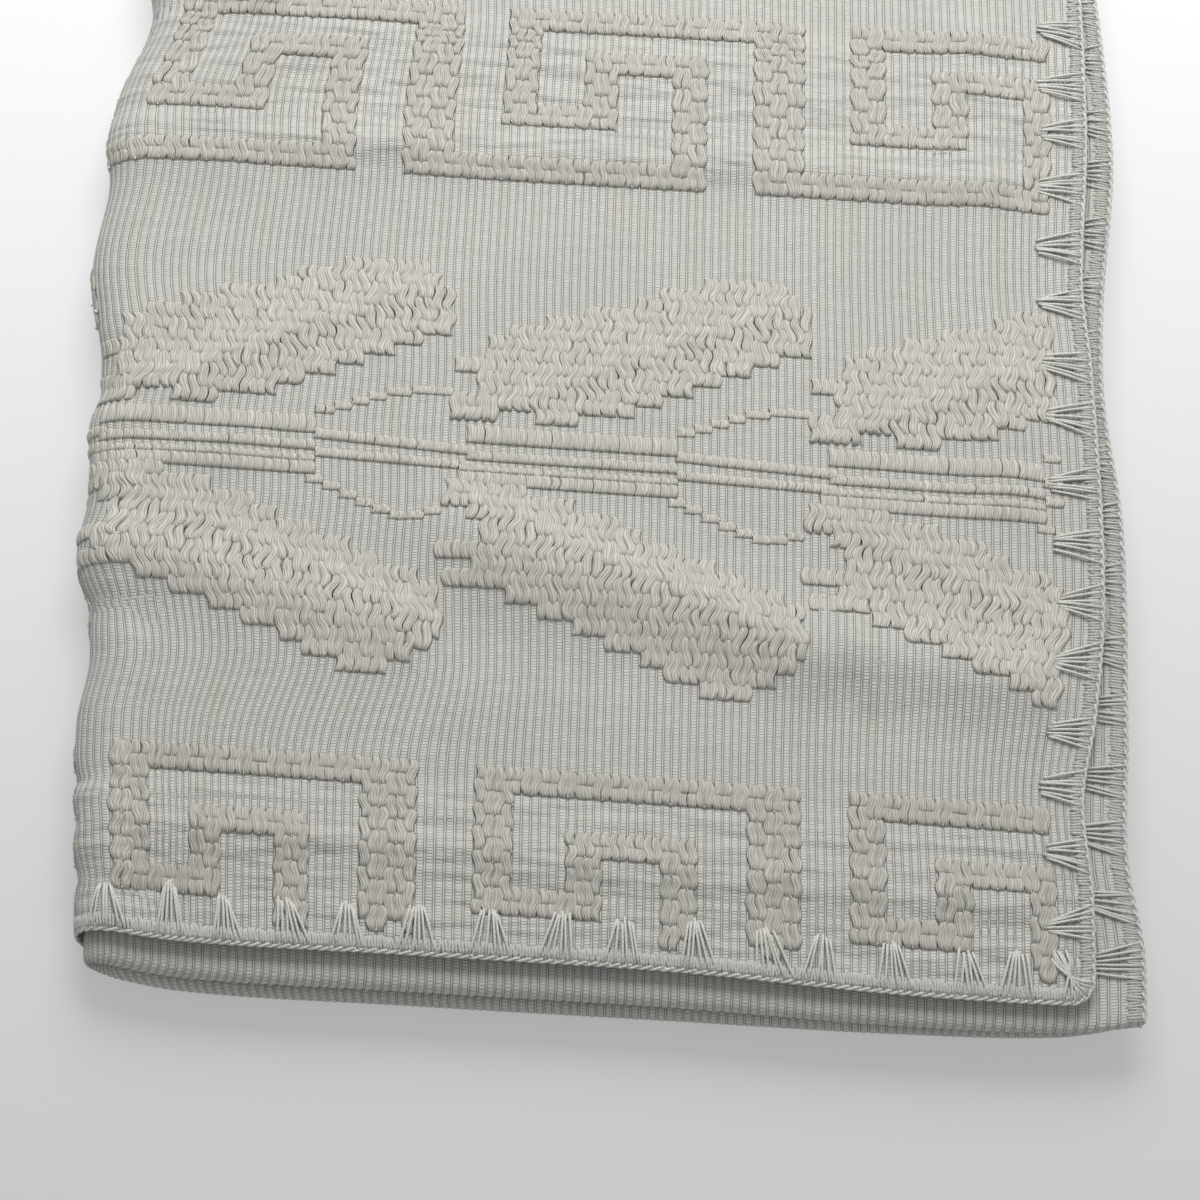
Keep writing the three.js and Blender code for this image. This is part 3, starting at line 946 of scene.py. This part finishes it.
def crochet_chain(settings, material):
    """The chain that ends the crochet: two strands that twist round each other along the whole rim."""
    count = round(RIM_LENGTH / (settings.chain_stitch / MM)) * CHAIN_POINTS
    u, v, out_u, out_v = rim(np.arange(count) / count * RIM_LENGTH)
    angle = np.arange(count) / CHAIN_POINTS * 2 * math.pi
    radius = settings.chain_thickness / MM / 4
    strands = []
    for start in (0, math.pi):
        out = CHAIN_GAP + 1.5 * radius + radius * np.cos(angle + start)
        strands.append(np.stack([u + out * out_u, v + out * out_v, radius * np.sin(angle + start)], -1))
    return thread_piece("crochet_chain", np.stack(strands), radius * CHAIN_FULL, 6, True, material)


def outer_face(v):
    """1 where the side that faces out of the pack is the face of the cloth, and -1 where it's the back."""
    return np.where((v > MIDDLE_V) & (v < INNER_V - FOLD_LENGTH), -1, 1)


def stitch_lines(distance, inward, spread_in, spread_out, top, points):
    """Threads from inside the cloth out over its rim. spread_in and spread_out shift a thread's inner and
    outer end along the rim."""
    t = np.linspace(0, 1, points)
    place = distance[:, None] + spread_in[:, None] * (1 - t) + spread_out[:, None] * t
    out = -inward[:, None] * (1 - t) + 0.6 * t
    u, v, out_u, out_v = rim(place)
    middle_v = rim(distance)[1][:, None]
    lift = top[:, None] * np.sin(math.pi * np.minimum(0.12 + t * 0.8, 1)) ** 0.5
    return np.stack([u + out * out_u, v + out * out_v, outer_face(middle_v) * (lift - 0.1)], -1)


SHELL_THREADS = 6
SHELL_SPREAD = (2.1, 5.8)  # half of a fan's width, at its inner and outer ends
SHELL_RISE = 1.15  # over the cloth
SHELL_RADIUS = 0.45  # of a thread


def crochet_shells(settings, material, rng):
    """Fans of threads that start close together in the cloth and open towards the rim."""
    count = round(RIM_LENGTH / (settings.shell_spacing / MM))
    middle = (np.arange(count) + 0.5) / count * RIM_LENGTH + rng.normal(0, 1.0, count)
    depth = settings.shell_depth / MM + rng.normal(0, 0.7, count)
    distance = np.repeat(middle, SHELL_THREADS)
    order = np.tile(np.linspace(-1, 1, SHELL_THREADS), count)
    inward = np.repeat(depth, SHELL_THREADS) - 0.9 * np.abs(order) + rng.normal(0, 0.5, len(distance))
    spread_out = order * SHELL_SPREAD[1] + rng.normal(0, 0.5, len(distance))
    spread_out = spread_out + np.repeat(rng.normal(0, 1.2, count), SHELL_THREADS)
    spread_in = order * SHELL_SPREAD[0] + rng.normal(0, 0.3, len(distance))
    top = SHELL_RISE + rng.normal(0, 0.15, len(distance))
    lines = stitch_lines(distance, inward, spread_in, spread_out, top, 6)
    return thread_piece("crochet_shells", lines, SHELL_RADIUS, 5, False, material)


RIM_SPACING = 0.95  # one stitch to the next
RIM_DEPTH = 3.6  # into the cloth
RIM_RISE = 0.4
RIM_RADIUS = 0.56


def crochet_rim(material, rng):
    """Short stitches side by side, which bind the rim under the chain."""
    count = round(RIM_LENGTH / RIM_SPACING)
    distance = (np.arange(count) + 0.5) / count * RIM_LENGTH
    inward = RIM_DEPTH + rng.normal(0, 0.3, count)
    slant = rng.normal(0.2, 0.2, count)
    top = RIM_RISE + rng.normal(0, 0.1, count)
    lines = stitch_lines(distance, inward, -slant, slant, top, 4)
    return thread_piece("crochet_rim", lines, RIM_RADIUS, 4, False, material)


# ---------------------------------------------------------------- settings, operators and panel


def colour_property(name, description, default):
    return bpy.props.FloatVectorProperty(
        name=name, description=description, default=default, size=4, min=0, max=1, subtype="COLOR"
    )


def length_property(name, description, default):
    return bpy.props.FloatProperty(name=name, description=description, default=default, unit="LENGTH")


class ClothSettings(bpy.types.PropertyGroup):
    thickness: length_property("Thickness", "Woven ground without its floats", 0.9 * MM)
    rib_pitch: length_property("Rib pitch", "Middle of one rib to the middle of the next", RIB * MM)
    ground_colour: colour_property("Ground", "Cotton of the ribs", (0.6, 0.588, 0.545, 1.0))
    ground_tint: colour_property("Ground tint", "Ribs of a yellower yarn", (0.57, 0.558, 0.488, 1.0))
    groove_colour: colour_property("Groove", "The shade between two ribs", (0.17, 0.165, 0.14, 1.0))


class YarnSettings(bpy.types.PropertyGroup):
    yarn_colour: colour_property("Yarn", "Soft yarn of the floats", (0.58, 0.562, 0.488, 1.0))
    yarn_tint: colour_property("Yarn tint", "Yarn of a pinker batch", (0.635, 0.59, 0.52, 1.0))


class CrochetSettings(bpy.types.PropertyGroup):
    thread_colour: colour_property("Thread", "Crochet cotton", (0.62, 0.61, 0.565, 1.0))
    chain_stitch: length_property("Chain stitch", "One full twist of the chain", 7 * MM)
    chain_thickness: length_property("Chain thickness", "Across both strands", 1.7 * MM)
    shell_spacing: length_property("Shell spacing", "One fan of stitches to the next", 21.3 * MM)
    shell_depth: length_property("Shell depth", "How far a fan reaches into the cloth", 14.5 * MM)


class StageSettings(bpy.types.PropertyGroup):
    floor_colour: colour_property("Floor", "The pale floor", (0.3, 0.3, 0.3, 1.0))
    # Painted light: the floor glows, which fills the pack's shadow on it and brightens it towards the back
    # like a lit backdrop
    glow_front: colour_property("Front glow", "The floor's own light in front", (0.3, 0.3, 0.3, 1.0))
    glow_back: colour_property("Back glow", "The floor's own light at the back", (0.65, 0.66, 0.65, 1.0))
    lens: bpy.props.FloatProperty(name="Lens", description="Focal length in mm", default=81.0)
    tilt: bpy.props.FloatProperty(
        name="Tilt",
        description="How far the camera leans from straight down",
        default=math.radians(20.7),
        subtype="ANGLE",
    )
    distance: length_property("Distance", "Camera to the top of the pack", 864 * MM)


# The lights: name, place, size and power
LIGHTS = [
    ("back_light", (0.06, 0.64, 0.78), 0.7, 11.8),
    ("front_light", (0.7, -0.8, 1.3), 1.4, 2.0),
]
SKY_COLOUR = (0.93, 0.96, 1.0, 1.0)
SKY_POWER = 0.38
FLOOR_SIZE = 12  # metres
FLOOR_DROP = 0.0002  # under the pack
# Painted light: where the floor's glow goes from dim in front to bright at the back
GLOW_Y = (-0.34, 0.36)  # the front glow up to the first, and the back glow from the second


class BEDSPREAD_OT_cloth(bpy.types.Operator):
    """Weave the ribbed cloth and fold it"""

    bl_idname = "bedspread.cloth"
    bl_label = "Folded cloth"

    def execute(self, context):
        settings = context.scene.bedspread_cloth
        u, v, h, faces = woven_shell(settings.thickness / MM)
        places = {"cloth": np.stack([u / WIDTH, v / LENGTH], -1)}
        cloth = new_piece("woven_cloth", placed(u, v, h), faces, woven_cotton(settings), places)
        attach(cloth, "root")
        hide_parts("bedspread")
        return {"FINISHED"}


class BEDSPREAD_OT_floats(bpy.types.Operator):
    """Lay the soft yarn of the keys, wings and cords over the ground"""

    bl_idname = "bedspread.floats"
    bl_label = "Yarn floats"

    def execute(self, context):
        rng = np.random.default_rng(11)
        settings = context.scene.bedspread_yarn
        material = soft_yarn("soft_yarn", settings)
        # Painted shade: the keys use a darker copy of the same soft yarn, standing in for the shade that
        # falls among the keys
        key_shaded_yarn = soft_yarn("key_yarn_painted_shade", settings, 0.9)
        first = math.ceil(-FIRST_COLUMN_U / RIB) + LOWER_CLEAR
        turn = math.floor((UPPER_START - FIRST_COLUMN_U) / RIB)
        last = math.floor((WIDTH - SIDE_CLEAR - FIRST_COLUMN_U) / RIB)
        upper = all_floats(turn, last)
        wings = (upper[:, FRONT_V] > WINGS_V[0]) & (upper[:, BACK_V] < WINGS_V[1])
        ties_material = crochet_cotton("tie_cotton", context.scene.bedspread_crochet, 1.1)
        pieces = [
            laid_floats("yarn_floats_wings", upper[wings], 6, 8, 0.07, material, rng),
            laid_floats("yarn_floats_keys", upper[~wings], 6, 6, 0.08, key_shaded_yarn, rng),
            laid_floats("yarn_floats_below", all_floats(first, turn), 4, 4, 0.0, material, rng),
            tie_stitches("tie_stitches", upper, ties_material, rng),
        ]
        for piece in pieces:
            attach(piece, "root")
        return {"FINISHED"}


class BEDSPREAD_OT_crochet(bpy.types.Operator):
    """Crochet the edging round the whole cloth"""

    bl_idname = "bedspread.crochet"
    bl_label = "Crocheted edging"

    def execute(self, context):
        rng = np.random.default_rng(23)
        settings = context.scene.bedspread_crochet
        material = crochet_cotton("crochet_cotton", settings)
        chain = crochet_chain(settings, material)
        shells = crochet_shells(settings, material, rng)
        # Painted shade: the rim stitches use a darker copy of the crochet cotton, standing in for the shade
        # on the rolled rim
        rim_row = crochet_rim(crochet_cotton("rim_cotton_painted_shade", settings, 0.84), rng)
        for piece in (chain, shells, rim_row):
            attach(piece, "root")
        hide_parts("crochet_edging")
        LENGTH * MM
        return {"FINISHED"}


class BEDSPREAD_OT_stage(bpy.types.Operator):
    """Set out the floor, the lights and the camera"""

    bl_idname = "bedspread.stage"
    bl_label = "Stage"

    def execute(self, context):
        settings = context.scene.bedspread_stage
        self.floor(settings)
        for name, place, size, power in LIGHTS:
            self.light(name, place, size, power)
        world = bpy.data.worlds.new("studio")
        world.use_nodes = True
        sky = world.node_tree.nodes["Background"]
        sky.inputs["Color"].default_value = SKY_COLOUR
        sky.inputs["Strength"].default_value = SKY_POWER
        context.scene.world = world
        self.camera(context, settings)
        context.scene.view_settings.view_transform = "Standard"
        return {"FINISHED"}

    def floor(self, settings):
        bpy.ops.mesh.primitive_plane_add(size=FLOOR_SIZE, location=(0, 0, -FLOOR_DROP))
        floor = bpy.context.object
        floor.name = "floor"
        material, shader, surface = new_material("floor_paper", Roughness=0.9, Emission_Strength=1.0)
        place = shader.out("ShaderNodeTexCoord", None, output=3)
        back = shader.out("ShaderNodeSeparateXYZ", None, output=1, Vector=place).rises(*GLOW_Y)
        grain = shader.noise(place, 900.0)
        pale = shader.tinted(grain, settings.floor_colour, darker(settings.floor_colour, 0.98))
        finish_surface(shader, surface, pale, grain, relief=0.02)
        # Painted light: the floor's emission, dimmer in front and brighter at the back
        glow = shader.tinted(back, settings.glow_front, settings.glow_back)
        shader.tree.links.new(glow.socket, surface.inputs["Emission Color"])
        floor.data.materials.append(material)

    def light(self, name, place, size, power):
        bpy.ops.object.light_add(type="AREA", location=place)
        lamp = bpy.context.object
        lamp.name = name
        lamp.data.size = size
        lamp.data.energy = power
        lamp.rotation_euler = (-lamp.location).to_track_quat("-Z", "Y").to_euler()

    def camera(self, context, settings):
        top = 2 * OUTER_RADIUS * MM
        back = settings.distance * math.sin(settings.tilt)
        up = settings.distance * math.cos(settings.tilt)
        place = (SHIFT[0] * MM, SHIFT[1] * MM - back, top + up)
        bpy.ops.object.camera_add(location=place, rotation=(settings.tilt, 0, 0))
        camera = bpy.context.object
        camera.name = "camera"
        camera.data.lens = settings.lens
        camera.data.sensor_width = 36
        camera.data.clip_start = 0.05
        context.scene.camera = camera


class BEDSPREAD_PT_panel(bpy.types.Panel):
    """The bedspread's steps, in order"""

    bl_idname = "BEDSPREAD_PT_panel"
    bl_label = "Bedspread"
    bl_space_type = "VIEW_3D"
    bl_region_type = "UI"
    bl_category = "Bedspread"

    def draw(self, context):
        for settings, operator in STEPS:
            box = self.layout.box()
            group = getattr(context.scene, settings)
            for key in group.bl_rna.properties.keys():
                if key not in ("rna_type", "name"):
                    box.prop(group, key)
            box.operator(operator)


STEPS = [
    ("bedspread_cloth", "bedspread.cloth"),
    ("bedspread_yarn", "bedspread.floats"),
    ("bedspread_crochet", "bedspread.crochet"),
    ("bedspread_stage", "bedspread.stage"),
]
GROUPS = {
    "bedspread_cloth": ClothSettings,
    "bedspread_yarn": YarnSettings,
    "bedspread_crochet": CrochetSettings,
    "bedspread_stage": StageSettings,
}
CLASSES = (
    *GROUPS.values(),
    BEDSPREAD_OT_cloth,
    BEDSPREAD_OT_floats,
    BEDSPREAD_OT_crochet,
    BEDSPREAD_OT_stage,
    BEDSPREAD_PT_panel,
)


def register():
    for one in CLASSES:
        bpy.utils.register_class(one)
    for name, group in GROUPS.items():
        setattr(bpy.types.Scene, name, bpy.props.PointerProperty(type=group))


def unregister():
    for name in GROUPS:
        delattr(bpy.types.Scene, name)
    for one in reversed(CLASSES):
        bpy.utils.unregister_class(one)


def main():
    register()
    bpy.ops.object.select_all(action="DESELECT")
    bpy.ops.bedspread.cloth()
    bpy.ops.bedspread.floats()
    bpy.ops.bedspread.crochet()
    bpy.ops.bedspread.stage()


if __name__ == "__main__":
    main()
